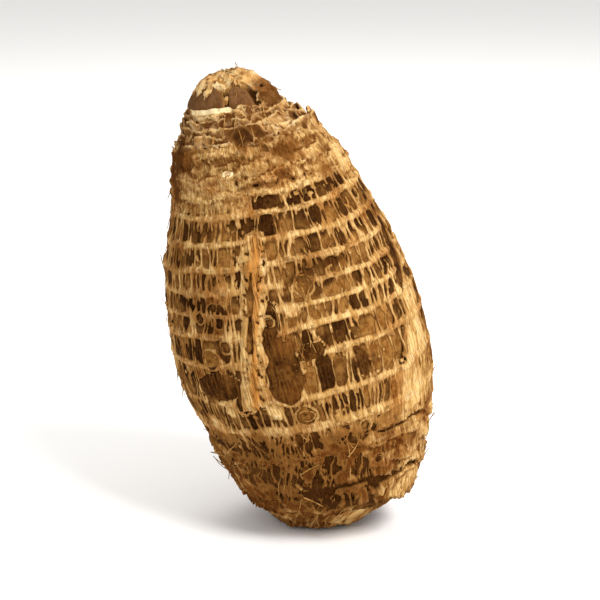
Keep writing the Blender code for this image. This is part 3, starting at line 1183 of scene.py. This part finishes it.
class TARO_OT_skin(bpy.types.Operator):
    """Build the corm's closed brown skin, from the foot up to the torn tip"""

    bl_idname = "taro.skin"
    bl_label = "Skin"

    def execute(self, context):
        sizes, barrel = context.scene.taro_skin, solid_barrel()
        columns, step = sizes.columns, sizes.row_height / MM
        paths = np.concatenate([np.arange(-FOOT_PATH + step, 0, step),
                                np.arange(0, SKIN_END - step / 2, step)])
        path, angle, faces = barrel_grid(paths, columns)
        at, barrel_spots = Spots(path, angle), barrel.spots(np.clip(path, 0, TIP_HEIGHT), angle)
        found = bark(barrel, barrel_spots)
        lift = skin_lift(at, found, sizes.roughness / MM)
        points = barrel.place(path, angle) + barrel.outward(path, angle) * lift[:, None]

        # one point closes the foot and one closes the tip
        ends = np.array([[0.0, 0, FOOT_HOLLOW], points[-columns:].mean(0)])
        ends[1, 2] += 0.1
        points = np.concatenate([points, ends])
        j = np.arange(columns)
        beside, top, foot = (j + 1) % columns, (len(paths) - 1) * columns, 0 * j + len(path)
        faces = np.concatenate([faces, triples(beside, j, foot),
                                triples(top + j, top + beside, foot + 1)])
        marks = {mark: np.append(values, [values[0], values[-1]])
                 for mark, values in skin_marks(at, barrel_spots, found).items()}
        path, angle = np.append(path, [-FOOT_PATH, SKIN_END]), np.append(angle, [0, 0])
        marks["grain"] = grain(path, angle)
        material = material_for(skin_finish, context)
        piece = finished_mesh("taro_skin", points, faces, marks, unrolled(path, angle), material)
        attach(piece, "root")
        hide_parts("taro_corm")
        return {"FINISHED"}


def bark_band(barrel, low, high, thickness):
    """The fields of one band of bark, torn at both ends and curling up in places."""

    def fields(at):
        values = bark(barrel, at)
        torn = 0.5 * at.wander(2.5, 3, 31) + 0.8 * at.wander(9, 8, 32)
        ends = least(at.height - low + 0.3 + 1.2 * torn, high - at.height + 0.5 - torn)
        cover = least(values["cover"], ends)
        curl = 1.1 * at.blots(0.35, 0.8, 8, 10, 33) * ease(1.4, 0.0, cover)
        thick = values["raised"] * thickness * (0.25 + 0.75 * rounded(cover / 0.5))
        lift = 0.06 + thick + curl
        core = 1.2 + 1.0 * at.rise(94, 104) + 0.7 * at.wander(9, 5, 34)
        core = core - abs(at.off(ridge_angle(at.height)) - 0.9)
        warm = 0.75 * ease(-0.4, 0.5, core) * (values["on_ridge"] > 0)
        under = least(-0.45 + 1.2 * curl, lift - 0.25)
        return {**values, "cover": cover, "lift": lift, "under": under, "warm": warm}

    return fields


class TARO_OT_bark(bpy.types.Operator):
    """Build the net of bark fibres and leaf scars, in four closed shells"""

    bl_idname = "taro.bark"
    bl_label = "Bark"

    def execute(self, context):
        sizes, barrel = context.scene.taro_bark, solid_barrel()
        material = material_for(fibre_finish, context)
        for name, low, high in BARK_BANDS:
            fields = bark_band(barrel, low, high, sizes.thickness)
            made = shell(barrel, low - 2.5, high + 2.5, fields, sizes.columns, sizes.row_height / MM)
            piece = finished_mesh(name, *made, material)
            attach(piece, "root")
        return {"FINISHED"}


def leaf_base(number):
    """The range and the fields of one torn leaf base, a low cuff whose upper edge stands
    away. The two highest climb the scales at the right, and the last has a cream band."""
    middle, flare_right = LEAF_BASES[number]
    low, high, seed = middle - 2.4, middle + 2.9, 60 + 5 * number
    climbs, banded = number > 3, number == 5

    def fields(at):
        height, dulled_and_shaded = at.height, at.near(DULL_AND_SHADED_PLACES)
        cream = at.side(-120, 34, 28) * banded
        climb = at.side(-8, 48, 26) * climbs
        ragged = 1.3 * at.level(16, seed) + 0.5 * at.level(4, seed + 1)
        ragged = ragged + 0.25 * at.wander(1.2, 3, seed + 2)
        top = high + ragged * (1 - cream) + climb * (3.0 + 2.5 * at.level(8, seed + 10))
        tear = Spots(0.3 * height, at.angle).blots(0.35, 0.7, 7, 6, seed + 2) * (1 - cream)
        to_top = top - 2.6 * tear - height
        # a hollow by the shoot: the cuff opens there and is painted dark as shade
        hollow = dulled_and_shaded - 0.5 * abs(height - 154.5) / 4
        hole = at.wander(6, 2.4, seed + 3) - 2 * cream
        cover = least(height - low, to_top)
        cover = least(cover, 2.2 * (0.42 - hole) + 0.3 * at.wander(1.5, 1.5, seed + 9))
        cover = least(cover, 1.7 - 1.75 * hollow - 0.8 * at.wander(3, 2, seed + 11))
        share = np.clip((height - low) / (high - low), 0, 1)
        flare = (0.45 + 1.1 * ease(-0.2, 0.6, at.level(9, seed + 4))) * share ** 2
        collar = at.side(-4, 52, 18) * flare_right
        flare = flare + collar * share ** 1.5 * (0.75 + 0.6 * at.level(5, seed + 13))
        wrinkle = 0.6 * at.wander(7, 1.5, seed + 5) * (1 - cream)
        lift = 0.15 + flare + wrinkle * share + 0.2 * rounded(cover / 0.5)
        rim = ease(0.9, 0.25, least(to_top, cover + 0.3))
        rim = most(rim, cream * ease(2.0, 1.5, top - height))
        patch = at.blots(-0.2, 0.35, 8, 2.2, seed + 6)
        dull = at.blots(-0.2, 0.35, 9, 2.6, seed + 9) * (1 - 0.7 * rim)
        dull = most(dull, dulled_and_shaded * (1 - 0.4 * rim), hollow)
        dull = np.clip(dull + 0.8 * climb, 0, 1) * (1 - cream)
        return {"cover": cover, "lift": lift, "under": least(lift - 0.35, flare - 0.5),
                "body": np.clip(0.1 + 0.5 * patch + 0.7 * rim, 0, 1) + cream * rim,
                "cell": 0.5 + 0.5 * at.wander(16, 3, seed + 7),
                "dull": dull + ease(0.45, 0.85, hollow),
                "warm": 0.35 * at.blots(0.2, 0.6, 6, 4, seed + 8)}

    return low - 1, high + (9 if climbs else 2.2), fields


def tip_scales(at):
    """The fields of the smooth brown scales that close round the tip."""
    height = at.height
    cover, shade = np.full(len(height), NOWHERE), np.zeros(len(height))
    for number, (angle, half, low, high) in enumerate(TIP_SCALES):
        middle = (2 * height - low - high) / (high - low)
        reach = half * np.sqrt(np.clip(1 - middle ** 2, 0, 1)) ** 0.6
        inside = (reach - abs(turned(at.angle - angle))) * 0.28
        inside = least(inside, height - low, high - height)
        chosen = dice(np.full(len(height), number), 0 * height, 91)
        shade = np.where(inside > cover, chosen, shade)
        cover = most(cover, inside)
    cover = cover + 0.3 * at.wander(2, 2, 92) + 1.2 * at.wander(8, 7, 104)
    cover = least(cover, height - 159.8, 172.8 - height)
    puffed = 0.8 * rounded(cover / 1.4) + 0.25 * at.wander(5, 4, 93)
    lift = 0.3 + at.rise(163, 166.5) * puffed
    return {"cover": cover, "lift": lift, "under": lift * 0 - 0.5, "body": 0.5 * shade,
            "cell": shade, "warm": 0 * shade, "dull": 0 * shade}


def torn_pulp(at):
    """The fields of the torn, fibrous pulp that closes the tip."""
    path, notch = at.height, at.bulge(-92, 22)
    low = 170.2 + 3.0 * at.level(9, 102) + 0.8 * at.level(2.5, 105)
    low = low - 4.5 * at.bulge(-94, 7) - 4 * at.side(-10, 46, 20)
    cover = least(path - low, SKIN_END - 0.4 - path) + 0.3 * at.wander(3, 1, 94)
    cover = least(cover, 0.9 - 2.0 * at.wander(12, 2.5, 103))
    cover = least(cover, path - 165.8, SKIN_END - 0.3 - path)
    inner = at.rise(SKIN_END - 1, SKIN_END - 5)
    lift = 0.75 + 0.9 * at.wander(16, 2.2, 97) + 0.5 * at.wander(6, 1.4, 98)
    lift = lift + 0.9 * ease(-0.1, 0.5, at.level(14, 95)) * inner - 1.6 * notch * inner
    browned = 0.7 * at.blots(0, 0.5, 14, 3, 101) * (1 - notch)
    # painted shade on the right side of the tip
    right_side = 0.9 * at.side(-16, 42, 22) * at.rise(172.5, 169)
    return {"cover": cover, "lift": lift + 0.3, "under": least(lift - 0.3, -0.4),
            "body": at.blots(-0.4, 0.3, 12, 1.6, 99), "cell": 0.7 + 0 * path,
            "dull": most(browned, right_side),
            "warm": 0.85 * at.blots(-0.1, 0.4, 14, 2, 100)}


class TARO_OT_stump(bpy.types.Operator):
    """Build the stump of the shoot: torn leaf bases, smooth scales and a torn crown"""

    bl_idname = "taro.stump"
    bl_label = "Stump"

    def execute(self, context):
        sizes, barrel = context.scene.taro_stump, solid_barrel()
        columns, step = sizes.columns, sizes.row_height / MM
        cuffs = [shell(barrel, *leaf_base(number), columns, step)
                 for number in range(len(LEAF_BASES))]
        scales = shell(barrel, 159, 173.5, tip_scales, columns, step)
        pulp = shell(barrel, 165.5, SKIN_END - 0.1, torn_pulp, columns // 2, 0.6 * step)
        for name, made, finish in (
            ("leaf_bases", joined(cuffs), stump_finish),
            ("tip_scales", scales, scale_finish),
            ("torn_pulp", pulp, stump_finish),
        ):
            piece = finished_mesh(name, *made, material_for(finish, context))
            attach(piece, "root")
        return {"FINISHED"}


# ---- what Geometry Nodes make ----
class Growth(Wiring):
    """A Geometry Nodes tree that sets copies of a small shape on a mesh. Its sizes name
    the inputs that it takes between the mesh and the material, with their kinds."""

    def __init__(self, name, sizes):
        super().__init__(bpy.data.node_groups.new(name, "GeometryNodeTree"))
        self.identifiers = {}
        for label, kind in {"Geometry": "Geometry", **sizes, "Material": "Material"}.items():
            made = self.tree.interface.new_socket(label, in_out="INPUT",
                                                  socket_type="NodeSocket" + kind)
            self.identifiers[label] = made.identifier
        self.tree.interface.new_socket("Geometry", in_out="OUTPUT",
                                       socket_type="NodeSocketGeometry")
        self.given = self.node("NodeGroupInput")

    def vector(self, x, y, z):
        return self.node("ShaderNodeCombineXYZ", None, {"X": x, "Y": y, "Z": z})["Vector"]

    def attribute(self, name, kind="FLOAT"):
        settings = {"data_type": kind}
        return self.node("GeometryNodeInputNamedAttribute", settings, {"Name": name})["Attribute"]

    def tube(self, line, sides, radius, capped):
        """A mesh tube round a curve."""
        inputs = {"Resolution": sides, "Radius": radius}
        profile = self.node("GeometryNodeCurvePrimitiveCircle", None, inputs)["Curve"]
        inputs = {"Curve": line, "Profile Curve": profile, "Fill Caps": capped}
        return self.node("GeometryNodeCurveToMesh", None, inputs)["Mesh"]

    def copies(self, points, shape, rotation, scale):
        inputs = {"Points": points, "Instance": shape, "Rotation": rotation, "Scale": scale}
        strewn = self.node("GeometryNodeInstanceOnPoints", None, inputs)["Instances"]
        return self.node("GeometryNodeRealizeInstances", None, {"Geometry": strewn})["Geometry"]

    def end(self, shape):
        inputs = {"Geometry": shape, "Material": self.given["Material"]}
        shape = self.node("GeometryNodeSetMaterial", None, inputs)["Geometry"]
        self.node("NodeGroupOutput", None, {"Geometry": shape})


class Scatter(Growth):
    """Strews one small shape over a mesh, as thickly as one of its marks says."""

    SIZES = {"Where": "String", "Density": "Float", "Shortest": "Float", "Longest": "Float",
             "Lean": "Float", "Lean spread": "Float", "Turn spread": "Float", "Seed": "Int"}

    def __init__(self, name, shape):
        super().__init__(name, self.SIZES)
        given = self.given
        points = self.node("GeometryNodeDistributePointsOnFaces", {"distribute_method": "RANDOM"}, {
            "Mesh": given["Geometry"], "Density": self.attribute(given["Where"]) * given["Density"],
            "Seed": given["Seed"]})
        align = "FunctionNodeAlignRotationToVector"
        upright = self.node(align, {"axis": "Z"}, {"Vector": points["Normal"]})["Rotation"]
        upright = self.node(align, {"axis": "Y", "pivot_axis": "Z"},
                            {"Rotation": upright, "Vector": (0, 0, 1)})["Rotation"]
        flipped = self.random(0, 1, 1)
        turn = flipped.maths("ROUND", flipped) * math.pi
        turn = turn + self.random(-1, 1, 2) * given["Turn spread"]
        lean = given["Lean"] + self.random(-1, 1, 3) * given["Lean spread"]
        for angles in ((0, 0, turn), (lean, 0, 0), (0, 0, self.random(-3.1, 3.1, 4))):
            upright = self.rotated(upright, angles)
        size = self.random(given["Shortest"], given["Longest"], 5)
        self.end(self.copies(points["Points"], shape(self), upright, self.vector(size, size, size)))

    def random(self, low, high, step):
        return self.node("FunctionNodeRandomValue", {"data_type": "FLOAT"},
                         {"Min": low, "Max": high, "Seed": self.given["Seed"] + step})["Value"]

    def rotated(self, rotation, angles):
        turn = self.node("FunctionNodeEulerToRotation", None, {"Euler": self.vector(*angles)})
        return self.node("FunctionNodeRotateRotation", {"rotation_space": "LOCAL"},
                         {"Rotation": rotation, "Rotate By": turn["Rotation"]})["Rotation"]


class Nubs(Growth):
    """Sets a low ringed nub on each point of a mesh."""

    UNEVEN = 0.001    # how far the noise moves a point across the nub, in metres

    def __init__(self, name):
        super().__init__(name, {"Ring": "Float", "Dome": "Float"})
        given, size = self.given, self.attribute("size")
        inputs = {"Resolution": 16, "Radius": 0.72}
        line = self.node("GeometryNodeCurvePrimitiveCircle", None, inputs)["Curve"]
        ring = self.node("GeometryNodeStoreNamedAttribute", {"data_type": "FLOAT"}, {
            "Geometry": self.tube(line, 5, given["Ring"], False), "Name": "body",
            "Value": 1.0})["Geometry"]
        inputs = {"Segments": 12, "Rings": 6, "Radius": 0.5}
        dome = self.node("GeometryNodeMeshUVSphere", None, inputs)["Mesh"]
        inputs = {"Geometry": dome, "Scale": self.vector(1.0, 1.0, given["Dome"])}
        dome = self.node("GeometryNodeTransform", None, inputs)["Geometry"]
        both = self.node("GeometryNodeJoinGeometry", None, {"Geometry": ring})
        self.tree.links.new(dome.socket, both.made.inputs["Geometry"])
        turn = self.node("FunctionNodeAlignRotationToVector", {"axis": "Z"},
                         {"Vector": self.attribute("facing", "FLOAT_VECTOR")})["Rotation"]
        real = self.copies(given["Geometry"], both["Geometry"], turn,
                           self.vector(size * 1.1, size * 0.9, size))
        bumps = self.node("ShaderNodeTexNoise", None, {"Scale": 420.0, "Detail": 2.0})["Color"]
        push = self.node("ShaderNodeVectorMath", {"operation": "MULTIPLY_ADD"}, {
            0: bumps, 1: (self.UNEVEN,) * 3, 2: (-self.UNEVEN / 2,) * 3})["Vector"]
        inputs = {"Geometry": real, "Offset": push}
        self.end(self.node("GeometryNodeSetPosition", None, inputs)["Geometry"])


def grown(tree, mesh, name, material, values):
    """The plain mesh that a tree makes from a mesh, as a new piece."""
    holder = bpy.data.objects.new(name, mesh.copy())
    bpy.context.scene.collection.objects.link(holder)
    modifier = holder.modifiers.new(name, "NODES")
    modifier.node_group = tree.tree
    for label, value in {**values, "Material": material}.items():
        modifier[tree.identifiers[label]] = value
    graph = bpy.context.evaluated_depsgraph_get()
    made = bpy.data.meshes.new_from_object(holder.evaluated_get(graph))
    holder.modifiers.remove(modifier)
    holder.data = made
    if len(made.polygons) == 0:
        raise RuntimeError(name + " came out empty")
    made.shade_smooth()
    return holder


def scar_places(scars, stand, pale):
    """A mesh of points on the skin, each with the size, facing and paleness of its scar."""
    height, angle, radius = np.array(scars, float).T
    barrel = solid_barrel()
    facing = barrel.outward(height, angle)
    places = (barrel.place(height, angle) + facing * stand) * MM
    mesh = bpy.data.meshes.new("scar_places")
    mesh.from_pydata(places.tolist(), [], [])
    layer = mesh.attributes.new("facing", "FLOAT_VECTOR", "POINT")
    layer.data.foreach_set("vector", facing.ravel())
    for mark, values in (("size", radius * MM), ("pale", 0 * radius + pale)):
        layer = mesh.attributes.new(mark, "FLOAT", "POINT")
        layer.data.foreach_set("value", values)
    return mesh


class TARO_OT_root_scars(bpy.types.Operator):
    """Set a low ringed nub where each side root broke off"""

    bl_idname = "taro.root_scars"
    bl_label = "Root scars"

    def execute(self, context):
        thin, material = context.scene.taro_fibres.scar_ring, material_for(scar_finish, context)
        tree = Nubs("nubs")
        for name, scars, ring, stand, pale in (("root_scars", ROOT_SCARS, thin, -0.1, 0.0),
                                               ("pale_scar", PALE_SCARS, 2.6 * thin, 0.6, 1.0)):
            mesh = scar_places(scars, stand, pale)
            piece = grown(tree, mesh, name, material, {"Ring": ring, "Dome": 0.3})
            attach(piece, "root")
        return {"FINISHED"}


def strand_shape(tree):
    """A curved, tapering hair, one metre tall."""
    line = tree.node("GeometryNodeCurveQuadraticBezier", None, {
        "Resolution": 5, "Start": (0, 0, 0), "Middle": (0.0, 0.16, 0.5), "End": (0.06, -0.02, 1)})
    along = tree.node("GeometryNodeSplineParameter")["Factor"]
    inputs = {"Curve": line["Curve"], "Radius": 1 - 0.75 * along}
    return tree.tube(tree.node("GeometryNodeSetCurveRadius", None, inputs)["Curve"], 3, 0.02, True)


def flake_shape(tree):
    """A thin curling chip of bark, one metre tall."""
    chip = tree.node("GeometryNodeMeshCube", None, {
        "Size": (0.75, 0.07, 1), "Vertices X": 3, "Vertices Y": 2, "Vertices Z": 4})["Mesh"]
    place = tree.node("GeometryNodeInputPosition")["Position"]
    parts = tree.node("ShaderNodeSeparateXYZ", None, {"Vector": place})
    height = parts["Z"] + 0.5
    bulge = parts["X"] * parts["X"] * 0.5 - height * height * 0.3
    narrow = tree.vector(parts["X"] * (-0.45) * height * height, bulge, 0.5)
    return tree.node("GeometryNodeSetPosition", None, {"Geometry": chip, "Offset": narrow})["Geometry"]


class TARO_OT_fibres(bpy.types.Operator):
    """Strew frayed fibres, root hairs and chips of bark over the corm"""

    bl_idname = "taro.fibres"
    bl_label = "Fibres"

    def execute(self, context):
        sizes, material = context.scene.taro_fibres, material_for(hair_finish, context)
        skin = bpy.data.objects["taro_skin"].data
        strands, chips = Scatter("strands", strand_shape), Scatter("chips", flake_shape)
        strand, chip = sizes.length, sizes.chip
        # name, slot and tree, then the values in Scatter.SIZES; so many to a square metre
        for name, slot, tree, where, density, *rest in (
            ("frayed_fibres", "bark_fibre", strands, "fluff", 52000.0,
             0.4 * strand, 1.2 * strand, 1.42, 0.16, 0.5, 6),
            ("root_hairs", "root_hair", strands, "rooty", 7000.0,
             0.6 * strand, 2.1 * strand, 1.42, 0.12, 1.3, 21),
            ("bark_chips", "bark_fibre", chips, "fluff", 9000.0,
             0.5 * chip, 1.3 * chip, 1.3, 0.2, 0.5, 25),
        ):
            values = dict(zip(Scatter.SIZES, (where, density * sizes.amount, *rest)))
            piece = grown(tree, skin, name, material, values)
            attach(piece, "root")
        return {"FINISHED"}


# ---- the stage ----
FLOOR_SIZE, FLOOR_PLACE = 40, (0, 0, -0.0002)    # in metres, just under the corm
FLOOR_ROUGHNESS = 0.9
SKY_STRENGTH = 0.82
LENS, SENSOR_WIDTH = 110, 36
# (name, place from the middle of the corm in metres, size, power)
LIGHTS = (("key", (0.55, -0.55, 0.8), 0.4, 14.0), ("fill", (-0.8, -0.6, 0.4), 0.8, 0.8),
          ("back", (0.1, 0.75, 0.85), 0.6, 6.0))


def aimed(name, data, middle, way, distance=1.0):
    """A light or camera that looks at the middle of the corm from a way and a distance."""
    holder = bpy.data.objects.new(name, data)
    holder.location = middle + way * distance
    holder.rotation_mode = "QUATERNION"
    holder.rotation_quaternion = way.to_track_quat("Z", "Y")
    bpy.context.scene.collection.objects.link(holder)
    return holder


class TARO_OT_stage(bpy.types.Operator):
    """Lay the pale floor and set the lights, the sky and the camera"""

    bl_idname = "taro.stage"
    bl_label = "Stage"

    def execute(self, context):
        scene, sizes = context.scene, context.scene.taro_stage
        bpy.ops.mesh.primitive_plane_add(size=FLOOR_SIZE, location=FLOOR_PLACE)
        floor = context.object
        floor.name = "floor"
        finish = Finish("pale_floor", sizes, "floor")
        finish.surface.inputs["Base Color"].default_value = (*sizes.floor, 1)
        finish.surface.inputs["Roughness"].default_value = FLOOR_ROUGHNESS
        floor.data.materials.append(finish.material)

        low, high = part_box("taro_corm")
        middle = (low + high) / 2
        for name, place, size, power in LIGHTS:
            lamp = bpy.data.lights.new(name, "AREA")
            lamp.energy, lamp.size = power, size
            aimed(name, lamp, middle, Vector(place))
        scene.world = bpy.data.worlds.new("pale_room")
        scene.world.use_nodes = True
        sky = scene.world.node_tree.nodes["Background"]
        sky.inputs["Color"].default_value = (1, 1, 1, 1)
        sky.inputs["Strength"].default_value = SKY_STRENGTH
        scene.view_settings.view_transform = "Standard"

        camera = bpy.data.cameras.new("camera")
        camera.lens, camera.sensor_width = LENS, SENSOR_WIDTH
        back = Vector((0, -math.cos(sizes.elevation), math.sin(sizes.elevation)))
        scene.camera = aimed("camera", camera, middle, back, sizes.distance)
        return {"FINISHED"}


class TARO_PT_corm(bpy.types.Panel):
    """The corm's settings and the buttons that build it"""

    bl_label = "Taro Corm"
    bl_space_type = "VIEW_3D"
    bl_region_type = "UI"
    bl_category = "Taro"

    def draw(self, context):
        for name, (group, operators) in SECTIONS.items():
            box = self.layout.box()
            box.label(text=name)
            settings = getattr(context.scene, group)
            for setting in settings.__annotations__:
                box.prop(settings, setting)
            for operator in operators:
                box.operator(operator.bl_idname)


SECTIONS = {
    "Colours": ("taro_colours", ()),
    "Skin": ("taro_skin", (TARO_OT_skin,)),
    "Bark": ("taro_bark", (TARO_OT_bark,)),
    "Stump": ("taro_stump", (TARO_OT_stump,)),
    "Fibres": ("taro_fibres", (TARO_OT_root_scars, TARO_OT_fibres)),
    "Stage": ("taro_stage", (TARO_OT_stage,)),
}
GROUPS = {"taro_colours": TaroColours, "taro_skin": TaroSkin, "taro_bark": TaroBark,
          "taro_stump": TaroStump, "taro_fibres": TaroFibres, "taro_stage": TaroStage}
OPERATORS = (TARO_OT_skin, TARO_OT_bark, TARO_OT_stump, TARO_OT_root_scars,
             TARO_OT_fibres, TARO_OT_stage)


def register():
    for group in GROUPS.values():
        bpy.utils.register_class(group)
    for name, group in GROUPS.items():
        setattr(bpy.types.Scene, name, PointerProperty(type=group))
    for operator in OPERATORS:
        bpy.utils.register_class(operator)
    bpy.utils.register_class(TARO_PT_corm)


def unregister():
    bpy.utils.unregister_class(TARO_PT_corm)
    for operator in reversed(OPERATORS):
        bpy.utils.unregister_class(operator)
    for name, group in reversed(GROUPS.items()):
        delattr(bpy.types.Scene, name)
        bpy.utils.unregister_class(group)


def main():
    register()
    bpy.ops.taro.skin()
    bpy.ops.taro.bark()
    bpy.ops.taro.stump()
    bpy.ops.taro.root_scars()
    bpy.ops.taro.fibres()
    bpy.ops.taro.stage()
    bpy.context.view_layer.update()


if __name__ == "__main__":
    main()
